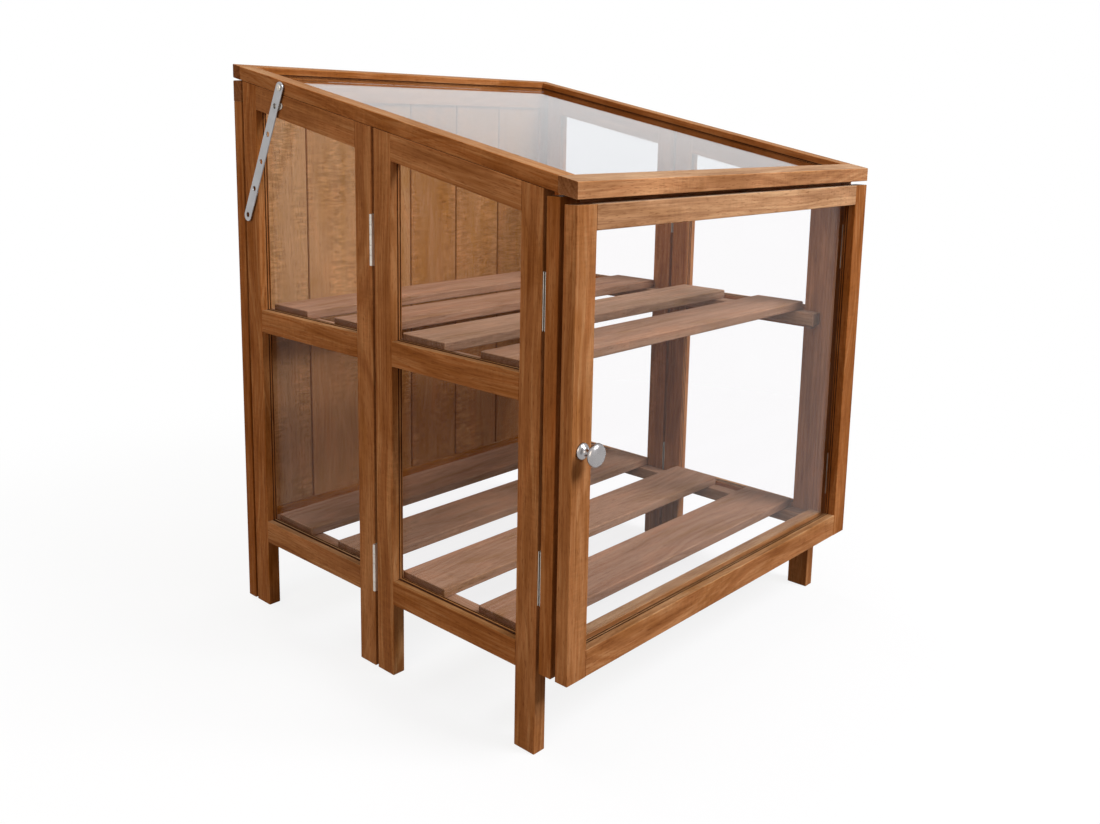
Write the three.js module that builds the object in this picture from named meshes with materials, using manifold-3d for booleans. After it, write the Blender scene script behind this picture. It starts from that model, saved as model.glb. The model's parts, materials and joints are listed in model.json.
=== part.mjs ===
// Folding wooden mini greenhouse: hinged side panels, a full-width glazed door in front, a sloping
// glazed lid held by a perforated stay, and two loose slatted shelves.
// Millimetres. X runs left to right along the front, Y from the front to the back, Z up from the floor.
import * as THREE from 'three';
import { mergeVertices } from 'three/addons/utils/BufferGeometryUtils.js';
import Module from 'manifold-3d';

const wasm = await Module();
wasm.setup();

// Overall sizes
const width = 600;
const depth = 600;
const lidFrontTop = 614;
const lidBackTop = 735;

// Timber: one thickness for every board, and the face widths of the members
const board = 17;
const stile = 30;
const sideRail = 30;
const sideTopRail = 30;
const frontTopRail = 26;
const frontBottomRail = 30;
const backTopRail = 27;
const backBottomRail = 30;
const lidSideRail = 25;
const lidFrontRail = 26;
const lidBackRail = 17;

// Heights of the undersides of the rails, door and front frame
const lowRailUnder = 92;
const midRailUnder = 386;
const frontUnder = 96;

// Gaps between the panels, and clearances
const doorGap = 6;
const hingeGap = 4.5;
const doorTopGap = 5;
const frontFrameTopGap = 3;
const backTopGap = 0.3;
const seat = 0.2;
const lidSeat = 0.3;
const runClear = 0.3;
const overrun = 1;

// Glass and the grooves that hold it
const sideGlass = 3;
const doorGlass = 3;
const lidGlass = 3.2;
const glassRecess = 11;
const lidGlassDrop = 9.4;
const grooveDepth = 6;
const glassPlay = 0.3;

// Boarded back wall
const backBoard = 6;
const backBoardRecess = 5;
const backBoardWidth = 93.3;
const veeDepth = 1.6;
const veeHalfWidth = 1.6;

// Shelves: slats across two battens, which rest on dowels in the side stiles
const battenWidth = 20;
const battenHeight = 18;
const slatWidth = 75;
const slatThickness = 12;
const slatCount = 4;
const slatEndInset = 27;
const shelfSideClear = 2;
const shelfFrontClear = 9;
const shelfBackClear = 10;
const battenAboveRailUnder = 7;
const dowelRadius = 3;
const dowelReach = 12;
const dowelEmbed = 4;

// Hinges
const hingeHeight = 60;
const hingeLeaf = 1.4;
const knuckleCount = 5;
const panelHingeRadius = 2;
const panelLeafInset = 1.2;
const middleHingeRise = 8;
const middleHingeDrop = 98;
const cornerHingeInset = 75;
const doorHingeInset = 55;
const doorLeafWidth = 21;
const lidHingeLength = 60;
const lidHingeInset = 90;
const lidHingeRadius = 2.2;
const lidLeafWidth = 15;
const pinRadius = 1.1;
const pinClear = 0.2;
const knuckleClear = 0.3;

// Stay: a perforated strap that swings on a screw in the lid's left side and drops over a peg below it
const strapWidth = 15;
const strapThickness = 1.6;
const strapTopEnd = 7;
const strapBottomEnd = 8.5;
const strapHoleRadius = 3.4;
const firstHole = 25;
const holePitch = 39;
const holeCount = 5;
const strapLean = THREE.MathUtils.degToRad(26);
const pivotFromBack = 111.5;
const strapStandoff = 2.6;
const pegRadius = 2.7;
const pegPlate = 1.5;
const pegPlateRadius = 6.5;
const earRadius = 4;
const earReach = 8.5;
const earHoleRadius = 1.5;
const screwRadius = 1.9;
const screwHoleClear = 0.3;
const screwDepth = 12;
const washerRadius = 5;
const screwHeadRadius = 4.2;
const screwHeadHeight = 1.7;
const screwHeadRimShares = [0.8, 0.7];

// Knob: a domed rose, a neck and a mushroom head
const knobReach = 24;
const knobHeadRadius = 12.5;
const knobRoseRadius = 9;
const knobNeckRadius = 3.6;
const knobRise = 250;
const knobInset = 15;

// Roundness of turned pieces
const barrelSides = 12;
const pinSides = 8;
const holeSides = 12;
const knobSides = 24;
const endSteps = 8;

// Lines worked out from the sizes above
const lidSlope = (lidBackTop - lidFrontTop) / depth;
const lidPlumb = board * Math.hypot(1, lidSlope);
const lidTopAt = (y) => lidFrontTop + lidSlope * y;
const lidUnderAt = (y) => lidTopAt(y) - lidPlumb;
const sideTopAt = (y) => lidUnderAt(y) - lidSeat;
const topRailPlumb = sideTopRail * Math.hypot(1, lidSlope);
const frameFront = board + doorGap;
const doorTop = lidUnderAt(0) - doorTopGap;
const frontFrameTop = lidUnderAt(frameFront) - frontFrameTopGap;
const frameBack = frameFront + board;
const backFront = depth - board;
const halfPanel = (backFront - frameBack - 3 * hingeGap) / 2;
const frontHalf = [frameBack + hingeGap, frameBack + hingeGap + halfPanel];
const rearHalf = [frontHalf[1] + hingeGap, frontHalf[1] + hingeGap + halfPanel];
const backTop = lidUnderAt(backFront) - backTopGap;
const lidHingeAxis = {
  y: depth + lidHingeRadius + runClear,
  z: (backTop + lidUnderAt(depth)) / 2,
};
const doorHingeAxis = { x: width, y: board + doorGap / 2 };
const doorHingeRadius = doorGap / 2 - runClear;
const barrelOffset = panelHingeRadius + runClear;
const panelLeafWidth = board + barrelOffset - panelLeafInset;
const pivot = { y: depth - pivotFromBack, z: lidTopAt(depth - pivotFromBack) - lidPlumb / 2 };
const peg = {
  y: pivot.y + firstHole * Math.sin(strapLean),
  z: pivot.z - firstHole * Math.cos(strapLean),
};

// Materials
function paint(color, roughness, metalness) {
  return new THREE.MeshStandardMaterial({ color, roughness, metalness });
}

const wood = paint(0xa5693a, 0.55, 0);
const slatWood = paint(0x9a6544, 0.6, 0);
const backWood = paint(0xb07c48, 0.6, 0);
const glass = new THREE.MeshStandardMaterial({
  color: 0xd9e6e2,
  roughness: 0.05,
  metalness: 0,
  transparent: true,
  opacity: 0.35,
});
const steel = paint(0xb9b7b0, 0.35, 1);
const aluminium = paint(0xc9cccd, 0.4, 1);
const chrome = paint(0xd6d4d2, 0.15, 1);

// Directions in which flat work is laid: outline across, outline up, thickness
const sidePlane = new THREE.Matrix4().makeBasis(
  new THREE.Vector3(0, 1, 0),
  new THREE.Vector3(0, 0, 1),
  new THREE.Vector3(1, 0, 0),
);
const frontPlane = new THREE.Matrix4().makeBasis(
  new THREE.Vector3(1, 0, 0),
  new THREE.Vector3(0, 0, 1),
  new THREE.Vector3(0, -1, 0),
);

// The whole object stands with the centre of its footprint on the origin
const greenhouse = new THREE.Group();
const footprintLeft = -strapStandoff - strapThickness - runClear - screwHeadHeight;
const footprintRight = width + barrelOffset + panelHingeRadius;
const footprintFront = -knobReach - seat;
const footprintBack = lidHingeAxis.y + lidHingeRadius;
greenhouse.position.set(-(footprintLeft + footprintRight) / 2, -(footprintFront + footprintBack) / 2, 0);

// Solids for cutting and joining
function toSolid(geometry) {
  const bare = geometry.clone();
  bare.deleteAttribute('normal');
  bare.deleteAttribute('uv');
  const merged = mergeVertices(bare);
  const vertProperties = Float32Array.from(merged.attributes.position.array);
  const triVerts = Uint32Array.from(merged.index.array);
  return new wasm.Manifold(new wasm.Mesh({ numProp: 3, vertProperties, triVerts }));
}

function toGeometry(solid) {
  const mesh = solid.getMesh();
  const geometry = new THREE.BufferGeometry();
  geometry.setAttribute('position', new THREE.BufferAttribute(Float32Array.from(mesh.vertProperties), 3));
  geometry.setIndex(new THREE.BufferAttribute(Uint32Array.from(mesh.triVerts), 1));
  geometry.computeVertexNormals();
  return geometry;
}

function cut(geometry, cutters) {
  return toGeometry(cutters.reduce((solid, cutter) => solid.subtract(toSolid(cutter)), toSolid(geometry)));
}

function join(geometries) {
  return toGeometry(geometries.map(toSolid).reduce((solid, other) => solid.add(other)));
}

// Basic shapes
const rectangle = (left, right, low, high) => [[left, low], [right, low], [right, high], [left, high]];

function plate(points, near, far) {
  const shape = new THREE.Shape(points.map(([u, v]) => new THREE.Vector2(u, v)));
  const geometry = new THREE.ExtrudeGeometry(shape, { depth: far - near, bevelEnabled: false });
  return geometry.translate(0, 0, near);
}

function block(low, high) {
  const size = high.map((value, i) => value - low[i]);
  const centre = high.map((value, i) => (value + low[i]) / 2);
  return new THREE.BoxGeometry(...size).translate(...centre);
}

// A rod along the local Z axis
function rod(radius, low, high, sides) {
  const geometry = new THREE.CylinderGeometry(radius, radius, high - low, sides);
  return geometry.rotateX(Math.PI / 2).translate(0, 0, (low + high) / 2);
}

// A turned piece along the local Z axis, from [radius, height] points that start and end on the axis
function turned(profile, sides) {
  const points = profile.map(([radius, height]) => new THREE.Vector2(radius, height));
  return toGeometry(toSolid(new THREE.LatheGeometry(points, sides).rotateX(Math.PI / 2)));
}

function addPiece(name, geometry, material, position, basis, parent = greenhouse) {
  const mesh = new THREE.Mesh(geometry, material);
  mesh.name = name;
  mesh.position.set(...position);
  if (basis) mesh.setRotationFromMatrix(basis);
  parent.add(mesh);
  return mesh;
}

// The two sides of the greenhouse: how far a depth from the outer face lies along X
const sides = [
  { name: 'left', outer: 0, inward: 1 },
  { name: 'right', outer: width, inward: -1 },
];
const sideSpan = (side, near, far) => {
  const ends = [side.outer + side.inward * near, side.outer + side.inward * far];
  return [Math.min(...ends), Math.max(...ends)];
};

// Outlines of the glazed openings in a side half-panel, grown by an amount on every edge
function lowerOpening([front, back], grow) {
  return rectangle(
    front + stile - grow,
    back - stile + grow,
    lowRailUnder + sideRail - grow,
    midRailUnder + grow,
  );
}

function upperOpening([front, back], grow) {
  const near = front + stile - grow;
  const far = back - stile + grow;
  const low = midRailUnder + sideRail - grow;
  return [
    [near, low],
    [far, low],
    [far, sideTopAt(far) - topRailPlumb + grow],
    [near, sideTopAt(near) - topRailPlumb + grow],
  ];
}

const levels = [
  { name: 'lower', opening: lowerOpening, railUnder: lowRailUnder },
  { name: 'upper', opening: upperOpening, railUnder: midRailUnder },
];
const shelfUnder = (level) => level.railUnder + battenAboveRailUnder;

// A side half-panel: two legs that run up as stiles, and a bottom, middle and sloping top rail
function addHalfPanel(side, name, half, dowelAt) {
  const [front, back] = half;
  const outline = [
    [front, 0],
    [front + stile, 0],
    [front + stile, lowRailUnder],
    [back - stile, lowRailUnder],
    [back - stile, 0],
    [back, 0],
    [back, sideTopAt(back)],
    [front, sideTopAt(front)],
  ];
  const [near, far] = sideSpan(side, 0, board);
  const [grooveNear, grooveFar] = sideSpan(
    side,
    glassRecess - glassPlay,
    glassRecess + sideGlass + glassPlay,
  );
  const cutters = levels.flatMap((level) => [
    plate(level.opening(half, 0), near - overrun, far + overrun),
    plate(level.opening(half, grooveDepth), grooveNear, grooveFar),
  ]);
  const frame = cut(plate(outline, near, far), cutters);
  const [dowelNear, dowelFar] = sideSpan(side, board - dowelEmbed, board + dowelReach);
  const dowels = levels.map((level) =>
    rod(dowelRadius, dowelNear, dowelFar, barrelSides).translate(
      dowelAt,
      shelfUnder(level) - runClear - dowelRadius,
      0,
    ),
  );
  const panel = `${side.name}_${name}`;
  addPiece(`${panel}_frame`, join([frame, ...dowels]), wood, [0, 0, 0], sidePlane);
  const [paneNear, paneFar] = sideSpan(side, glassRecess, glassRecess + sideGlass);
  for (const level of levels) {
    const pane = plate(level.opening(half, grooveDepth - glassPlay), paneNear, paneFar);
    addPiece(`${panel}_${level.name}_pane`, pane, glass, [0, 0, 0], sidePlane);
  }
}

for (const side of sides) {
  addHalfPanel(side, 'front', frontHalf, frontHalf[0] + stile / 2);
  addHalfPanel(side, 'rear', rearHalf, rearHalf[1] - stile / 2);
}

// A rectangular frame in the front plane, with its opening and an optional groove for a pane
function addFrontFrame(name, backFace, top, groove) {
  const outline = rectangle(0, width, frontUnder, top);
  const opening = (grow) =>
    rectangle(
      stile - grow,
      width - stile + grow,
      frontUnder + frontBottomRail - grow,
      top - frontTopRail + grow,
    );
  const cutters = [plate(opening(0), -overrun, board + overrun)];
  if (groove) cutters.push(plate(opening(grooveDepth), groove.near - glassPlay, groove.far + glassPlay));
  addPiece(name, cut(plate(outline, 0, board), cutters), wood, [0, backFace, 0], frontPlane);
  return opening;
}

addFrontFrame('front_frame', frameBack, frontFrameTop);

// Door, with its pane set back from the face, and the knob on its left stile
const doorGroove = { near: board - glassRecess - doorGlass, far: board - glassRecess };
const doorOpening = addFrontFrame('door_frame', board, doorTop, doorGroove);
const doorPane = plate(doorOpening(grooveDepth - glassPlay), doorGroove.near, doorGroove.far);
addPiece('door_pane', doorPane, glass, [0, board, 0], frontPlane);

const knobProfileShares = [
  [0, 0, 0],
  [1, 0, 0],
  [1, 0, 0.04],
  [0.72, 0, 0.13],
  [0, 1, 0.17],
];
const knobHeadShares = [
  [0.36, 0.46],
  [0.78, 0.55],
  [1, 0.72],
  [0.93, 0.86],
  [0.62, 0.96],
  [0, 1],
];
const knobProfile = [
  ...knobProfileShares.map(([rose, neck, reach]) => [
    rose * knobRoseRadius + neck * knobNeckRadius,
    reach * knobReach,
  ]),
  ...knobHeadShares.map(([radius, reach]) => [radius * knobHeadRadius, reach * knobReach]),
];
const forwards = new THREE.Matrix4().makeRotationX(Math.PI / 2);
const knobPlace = [knobInset, -seat, frontUnder + knobRise];
addPiece('door_knob', turned(knobProfile, knobSides), chrome, knobPlace, forwards);

// Back wall: a frame with legs, a full-width top rail and a panel with vertical vee grooves
const backOutline = [
  [0, 0],
  [stile, 0],
  [stile, lowRailUnder],
  [width - stile, lowRailUnder],
  [width - stile, 0],
  [width, 0],
  [width, backTop],
  [0, backTop],
];
const backOpening = (grow) =>
  rectangle(
    stile - grow,
    width - stile + grow,
    lowRailUnder + backBottomRail - grow,
    backTop - backTopRail + grow,
  );
const boardNear = board - backBoardRecess - backBoard;
const boardFar = board - backBoardRecess;
const backCutters = [
  plate(backOpening(0), -overrun, board + overrun),
  plate(backOpening(grooveDepth), boardNear - glassPlay, boardFar + glassPlay),
];
addPiece('back_frame', cut(plate(backOutline, 0, board), backCutters), wood, [0, depth, 0], frontPlane);

function veeGroovedOutline(left, right) {
  const front = backFront + backBoardRecess;
  const back = front + backBoard;
  const boardCount = Math.ceil((width - 2 * stile) / backBoardWidth);
  const vees = Array.from({ length: boardCount - 1 }, (_, i) => width - stile - (i + 1) * backBoardWidth);
  vees.reverse();
  const face = (line, inward, order) =>
    order.flatMap((x) => [
      [x - veeHalfWidth * inward, line],
      [x, line + veeDepth * inward],
      [x + veeHalfWidth * inward, line],
    ]);
  return [
    [left, front],
    ...face(front, 1, vees),
    [right, front],
    [right, back],
    ...face(back, -1, vees.toReversed()),
    [left, back],
  ];
}

const boardInset = stile - grooveDepth + glassPlay;
const boardLow = lowRailUnder + backBottomRail - grooveDepth + glassPlay;
const boardHigh = backTop - backTopRail + grooveDepth - glassPlay;
const backPanel = plate(veeGroovedOutline(boardInset, width - boardInset), boardLow, boardHigh);
addPiece('back_panel', backPanel, backWood, [0, 0, 0]);

// Lid: a sloping frame with plumb-cut ends, grooved round its pane, and a hole for the stay's screw
const lidSlab = (front, back, drop, thickness) => [
  [front, lidTopAt(front) - drop - thickness],
  [back, lidTopAt(back) - drop - thickness],
  [back, lidTopAt(back) - drop],
  [front, lidTopAt(front) - drop],
];
const lidOpening = rectangle(
  lidFrontRail,
  depth - lidBackRail,
  lidFrontTop - lidPlumb - overrun,
  lidBackTop + overrun,
);
const lidGroove = plate(
  lidSlab(
    lidFrontRail - grooveDepth,
    depth - lidBackRail + grooveDepth,
    lidGlassDrop - glassPlay,
    lidGlass + 2 * glassPlay,
  ),
  lidSideRail - grooveDepth,
  width - lidSideRail + grooveDepth,
);
const screwHole = rod(screwRadius + screwHoleClear, -overrun, screwDepth + overrun, pinSides);
screwHole.translate(pivot.y, pivot.z, 0);
const lidFrame = cut(plate(lidSlab(0, depth, 0, lidPlumb), 0, width), [
  plate(lidOpening, lidSideRail, width - lidSideRail),
  lidGroove,
  screwHole,
]);
addPiece('lid_frame', lidFrame, wood, [0, 0, 0], sidePlane);

const paneInset = grooveDepth - glassPlay;
const lidPane = plate(
  lidSlab(lidFrontRail - paneInset, depth - lidBackRail + paneInset, lidGlassDrop, lidGlass),
  lidSideRail - paneInset,
  width - lidSideRail + paneInset,
);
addPiece('lid_pane', lidPane, glass, [0, 0, 0], sidePlane);

// Shelves
const battenFront = frameBack + shelfFrontClear;
const battenBack = backFront - shelfBackClear;
const battenLength = battenBack - battenFront;
const slatPitch = (battenLength - 2 * slatEndInset - slatWidth) / (slatCount - 1);
const shelfEdge = board + shelfSideClear;
const shelves = [
  { name: 'bottom_shelf', level: levels[0] },
  { name: 'middle_shelf', level: levels[1] },
];
for (const shelf of shelves) {
  const under = shelfUnder(shelf.level);
  for (const side of sides) {
    const [left, right] = sideSpan(side, shelfEdge, shelfEdge + battenWidth);
    const batten = new THREE.BoxGeometry(right - left, battenLength, battenHeight);
    const centre = [(left + right) / 2, (battenFront + battenBack) / 2, under + battenHeight / 2];
    addPiece(`${shelf.name}_${side.name}_batten`, batten, slatWood, centre);
  }
  for (let i = 0; i < slatCount; i += 1) {
    const slat = new THREE.BoxGeometry(width - 2 * shelfEdge, slatWidth, slatThickness);
    const y = battenFront + slatEndInset + slatWidth / 2 + i * slatPitch;
    const z = under + battenHeight + seat + slatThickness / 2;
    addPiece(`${shelf.name}_slat_${i + 1}`, slat, slatWood, [width / 2, y, z]);
  }
}

// Hinges that join the panels, shown closed: two leaves in the gap and a barrel beside it.
// Local X points from the leaves to the barrel, local Y across the gap, local Z along the pin.
function panelHinge() {
  const barrel = rod(panelHingeRadius, 0, hingeHeight, barrelSides);
  const leaves = [-1, 1].map((way) => {
    const outer = way * (hingeGap / 2 - seat);
    const inner = outer - way * hingeLeaf;
    return block([-panelLeafWidth, Math.min(outer, inner), 0], [0, Math.max(outer, inner), hingeHeight]);
  });
  const bridge = block(
    [-panelHingeRadius, -hingeGap / 2 + seat, 0],
    [-panelHingeRadius / 2, hingeGap / 2 - seat, hingeHeight],
  );
  return join([barrel, ...leaves, bridge]);
}

const towardsX = (way) =>
  new THREE.Matrix4().makeBasis(
    new THREE.Vector3(way, 0, 0),
    new THREE.Vector3(0, way, 0),
    new THREE.Vector3(0, 0, 1),
  );
const middleHingeUnders = [
  lowRailUnder + middleHingeRise,
  sideTopAt(frontHalf[1]) - middleHingeDrop - hingeHeight,
];
const cornerHingeUnders = [frontUnder + cornerHingeInset, frontFrameTop - cornerHingeInset - hingeHeight];
const doorHingeUnders = [frontUnder + doorHingeInset, doorTop - doorHingeInset - hingeHeight];
const panelJoints = [
  { name: 'front_corner_hinge', y: frameBack + hingeGap / 2, inside: true, unders: cornerHingeUnders },
  { name: 'middle_hinge', y: frontHalf[1] + hingeGap / 2, inside: false, unders: middleHingeUnders },
  { name: 'rear_corner_hinge', y: rearHalf[1] + hingeGap / 2, inside: true, unders: cornerHingeUnders },
];
for (const side of sides) {
  for (const panelJoint of panelJoints) {
    const face = panelJoint.inside ? board + barrelOffset : -barrelOffset;
    const way = panelJoint.inside ? side.inward : -side.inward;
    panelJoint.unders.forEach((under, i) => {
      const name = `${side.name}_${panelJoint.name}_${levels[i].name}`;
      const place = [side.outer + side.inward * face, panelJoint.y, under];
      addPiece(name, panelHinge(), steel, place, towardsX(way));
    });
  }
}

// Moving hinges: the fixed leaf carries the outer knuckles and the pin, the moving leaf those between.
// Local X points from the plate to the pin, local Y across, local Z along the pin.
function hingeLeafSolid(length, radius, plateWidth, way, fixed) {
  const pitch = length / knuckleCount;
  const outer = way * (radius + runClear - seat);
  const inner = outer - way * hingeLeaf;
  const [low, high] = [Math.min(outer, inner), Math.max(outer, inner)];
  const knuckles = Array.from({ length: knuckleCount }, (_, i) => i).filter((i) => (i % 2 === 0) === fixed);
  const pieces = [block([-plateWidth, low, 0], [-radius - knuckleClear, high, length])];
  const bores = [];
  for (const i of knuckles) {
    const from = i === 0 ? 0 : i * pitch + knuckleClear / 2;
    const to = i === knuckleCount - 1 ? length : (i + 1) * pitch - knuckleClear / 2;
    pieces.push(block([-radius - knuckleClear - overrun, low, from], [0, high, to]));
    pieces.push(rod(radius, from, to, barrelSides));
    if (!fixed) bores.push(rod(pinRadius + pinClear, from - overrun, to + overrun, pinSides));
  }
  if (fixed) pieces.push(rod(pinRadius, 0, length, pinSides));
  return cut(join(pieces), bores);
}

doorHingeUnders.forEach((under, i) => {
  const name = `door_hinge_${levels[i].name}`;
  const place = [doorHingeAxis.x, doorHingeAxis.y, under];
  const frameLeaf = hingeLeafSolid(hingeHeight, doorHingeRadius, doorLeafWidth, 1, true);
  const doorLeaf = hingeLeafSolid(hingeHeight, doorHingeRadius, doorLeafWidth, -1, false);
  addPiece(`${name}_frame_leaf`, frameLeaf, steel, place);
  addPiece(`${name}_door_leaf`, doorLeaf, steel, place);
});

// The lid's hinges lie flat on the back: one leaf below the pin on the back wall, one above on the lid
const leafBelow = new THREE.Matrix4().makeBasis(
  new THREE.Vector3(0, 0, 1),
  new THREE.Vector3(0, -1, 0),
  new THREE.Vector3(1, 0, 0),
);
const leafAbove = new THREE.Matrix4().makeBasis(
  new THREE.Vector3(0, 0, -1),
  new THREE.Vector3(0, 1, 0),
  new THREE.Vector3(1, 0, 0),
);
for (const side of sides) {
  const [near] = sideSpan(side, lidHingeInset, lidHingeInset + lidHingeLength);
  const place = [near, lidHingeAxis.y, lidHingeAxis.z];
  const wallLeaf = hingeLeafSolid(lidHingeLength, lidHingeRadius, lidLeafWidth, 1, true);
  const lidLeaf = hingeLeafSolid(lidHingeLength, lidHingeRadius, lidLeafWidth, -1, false);
  addPiece(`lid_hinge_${side.name}_wall_leaf`, wallLeaf, steel, place, leafBelow);
  addPiece(`lid_hinge_${side.name}_lid_leaf`, lidLeaf, steel, place, leafAbove);
}

// Stay, on the left side
const strapLength = firstHole + (holeCount - 1) * holePitch + strapBottomEnd;

function strapGeometry() {
  const half = strapWidth / 2;
  const outline = new THREE.Shape();
  outline.absarc(0, strapTopEnd - half, half, 0, Math.PI, false);
  outline.absarc(0, half - strapLength, half, Math.PI, 2 * Math.PI, false);
  outline.closePath();
  const addHole = (v, radius) => {
    const hole = new THREE.Path();
    hole.absarc(0, v, radius, 0, 2 * Math.PI, true);
    outline.holes.push(hole);
  };
  addHole(0, screwRadius + screwHoleClear);
  for (let i = 0; i < holeCount; i += 1) {
    addHole(-firstHole - i * holePitch, strapHoleRadius);
  }
  return new THREE.ExtrudeGeometry(outline, {
    depth: strapThickness,
    bevelEnabled: false,
    curveSegments: endSteps,
  });
}

function pegPlateGeometry() {
  const disc = rod(pegPlateRadius, 0, pegPlate, holeSides);
  const ear = rod(earRadius, 0, pegPlate, holeSides).translate(-earReach, 0, 0);
  const web = block([-earReach, -earRadius / 2, 0], [0, earRadius / 2, pegPlate]);
  const stud = rod(pegRadius, 0, strapStandoff - seat - runClear, holeSides);
  const screwHole = rod(earHoleRadius, -overrun, pegPlate + overrun, pinSides).translate(-earReach, 0, 0);
  return cut(join([disc, ear, web, stud]), [screwHole]);
}

function stayScrewProfile() {
  const under = strapStandoff - runClear;
  const over = strapStandoff + strapThickness + runClear;
  const [rimRadius, rimHeight] = screwHeadRimShares;
  return [
    [0, -screwDepth],
    [screwRadius, -screwDepth],
    [screwRadius, seat],
    [washerRadius, seat],
    [washerRadius, under],
    [screwRadius, under],
    [screwRadius, over],
    [screwHeadRadius, over],
    [screwHeadRadius * rimRadius, over + screwHeadHeight * rimHeight],
    [0, over + screwHeadHeight],
  ];
}

const outwards = new THREE.Matrix4().makeBasis(
  new THREE.Vector3(0, 1, 0),
  new THREE.Vector3(0, 0, -1),
  new THREE.Vector3(-1, 0, 0),
);
const strap = new THREE.Group();
strap.position.set(0, pivot.y, pivot.z);
strap.rotation.x = strapLean;
greenhouse.add(strap);
const strapFace = -strapStandoff - strapThickness;
addPiece('stay_strap', strapGeometry(), aluminium, [strapFace, 0, 0], sidePlane, strap);
addPiece('stay_screw', turned(stayScrewProfile(), holeSides), steel, [0, pivot.y, pivot.z], outwards);
addPiece('stay_peg', pegPlateGeometry(), steel, [-seat, peg.y, peg.z], outwards);

export default greenhouse;
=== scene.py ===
# Looks of the wooden mini greenhouse, in metres, +Z up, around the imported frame.
import json
import math
import random

import bmesh
import bpy
from mathutils import Matrix, Vector


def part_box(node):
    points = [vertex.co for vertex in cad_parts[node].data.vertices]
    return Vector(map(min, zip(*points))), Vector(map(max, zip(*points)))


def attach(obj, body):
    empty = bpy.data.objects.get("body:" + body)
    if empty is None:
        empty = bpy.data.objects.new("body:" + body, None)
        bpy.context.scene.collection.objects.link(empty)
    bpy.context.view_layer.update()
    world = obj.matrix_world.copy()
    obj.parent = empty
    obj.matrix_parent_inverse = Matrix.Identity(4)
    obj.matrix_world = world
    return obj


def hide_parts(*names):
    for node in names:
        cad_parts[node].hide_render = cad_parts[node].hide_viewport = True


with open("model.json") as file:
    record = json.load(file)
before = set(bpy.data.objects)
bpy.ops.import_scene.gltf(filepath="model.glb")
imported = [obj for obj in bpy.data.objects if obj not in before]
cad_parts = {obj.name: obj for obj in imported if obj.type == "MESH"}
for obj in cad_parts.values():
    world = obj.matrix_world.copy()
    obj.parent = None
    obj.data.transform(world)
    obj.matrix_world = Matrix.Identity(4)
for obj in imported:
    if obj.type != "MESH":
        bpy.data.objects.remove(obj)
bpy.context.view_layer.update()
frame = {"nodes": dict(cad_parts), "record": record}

MM = 0.001
X, Y, Z = Vector((1, 0, 0)), Vector((0, 1, 0)), Vector((0, 0, 1))

# How far each pane reaches into the grooves of its frame
GLASS_BITE = 5.7 * MM

# Softened edges of the timber: along the grain, and round the sawn ends
EDGE_ROUND = 1.1 * MM
END_ROUND = 0.35 * MM
SLAT_ROUND = 1.8 * MM
ROUND_STEPS = 3

# Boards of the back wall, with a V between them and tongues that close the joints
BOARD_WIDTH = 93.3 * MM
BOARD_GAP = 0.25 * MM
BOARD_VEE = 1.6 * MM
TONGUE = 1.5 * MM
TONGUE_REACH = 3 * TONGUE

# Painted shade beside the panes, dark strips on the wood where the grooves' gaps lie in shade: their width,
# wider on a side's sill, and the lip's reach
GROOVE_SHADE_WIDTH = 1.3 * MM
SILL_SHADE_WIDTH = 3.2 * MM
GROOVE_SHADE_LIP = 0.25 * MM

# Tones: how much paler than its wood a bar is, or darker below zero. Bars without one draw theirs.
SIDE_STILE_TONES = {"front": (0.25, 0.15), "rear": (0.3, -0.5)}
STILE_TONES = {
    "front_frame": (-0.4, 0.0),
    "door_frame": (0.2, -0.7),
    "back_frame": (-0.9, -0.6),
}
SILL_TONE = 0.3
# The top rails of the door and of the front frame are far paler: a painted highlight of reflected light on
# top of their own tone
DOOR_TOP_HIGHLIGHT_TONE = 2.6
BACK_SILL_TONE = -1.4
LID_RAIL_TONES = (1.4, -0.5)
LID_SIDE_TONE = -0.3
BOARD_TONES = (-0.7, -0.5, -0.9, -0.2, 0.5, 0.9)
TONGUE_TONE = -1
RANDOM_TONE = 0.6

# Sawn ends are darker than the sides, but less so on the battens
END_SAWN = 1.0
BATTEN_SAWN = 0.25

# A face counts as along an axis, or as one of a bar's flat sides, above these cosines
NEARLY_ALONG = 0.9
ROUGHLY_ALONG = 0.7
QUITE_FLAT = 0.999

# Where a bar was cut from its log, drawn for each bar: along the grain, and from the pith to two sides
GRAIN_RUN = 20
PITH_SIDE = (0.012, 0.07)
PITH_DEPTH = (0.015, 0.09)

# Noises of the wood: scales along, across and through a bar, then detail, roughness and distortion.
# The scales of the rings run outwards from the pith and along the bar.
DRIFT = ((3.0, 0.0, 0.0), 1.0, 0.5, 0.0)
RINGS = ((260.0, 1.6, 0.0), 2.5, 0.6, 0.2)
STREAKS = ((13.0, 420.0, 420.0), 3.0, 0.6, 0.35)
FIBRES = ((34.0, 1700.0, 1700.0), 2.0, 0.6, 0.0)
PORES = ((95.0, 950.0, 950.0), 1.5, 0.5, 0.0)
PATCHES = ((9.0, 42.0, 42.0), 2.5, 0.6, 0.5)
FLAME = ((270.0, 62.0, 62.0), 2.0, 0.6, 0.6)
CURL = ((9.0, 26.0, 26.0), 1.0, 0.5, 0.0)

# How far the pith wanders, and the share of each noise in the figure
DRIFT_REACH = 0.06
RING_SHARE, STREAK_SHARE, PATCH_SHARE = 0.32, 0.26, 0.42

# Parts of each noise, from none of an effect to all of it
PORE_RANGE = (0.58, 0.70)
RED_RANGE = (0.5, 0.72)
GOLD_RANGE = (0.46, 0.28)
FLAME_RANGE = (0.38, 0.66)
CURL_RANGE = (0.36, 0.64)
FIBRE_RANGE = (0.35, 0.65)
MIDDLE_RANGE = (0.3, 0.7)
FILM_RANGE = (0.45, 0.75)

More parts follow.
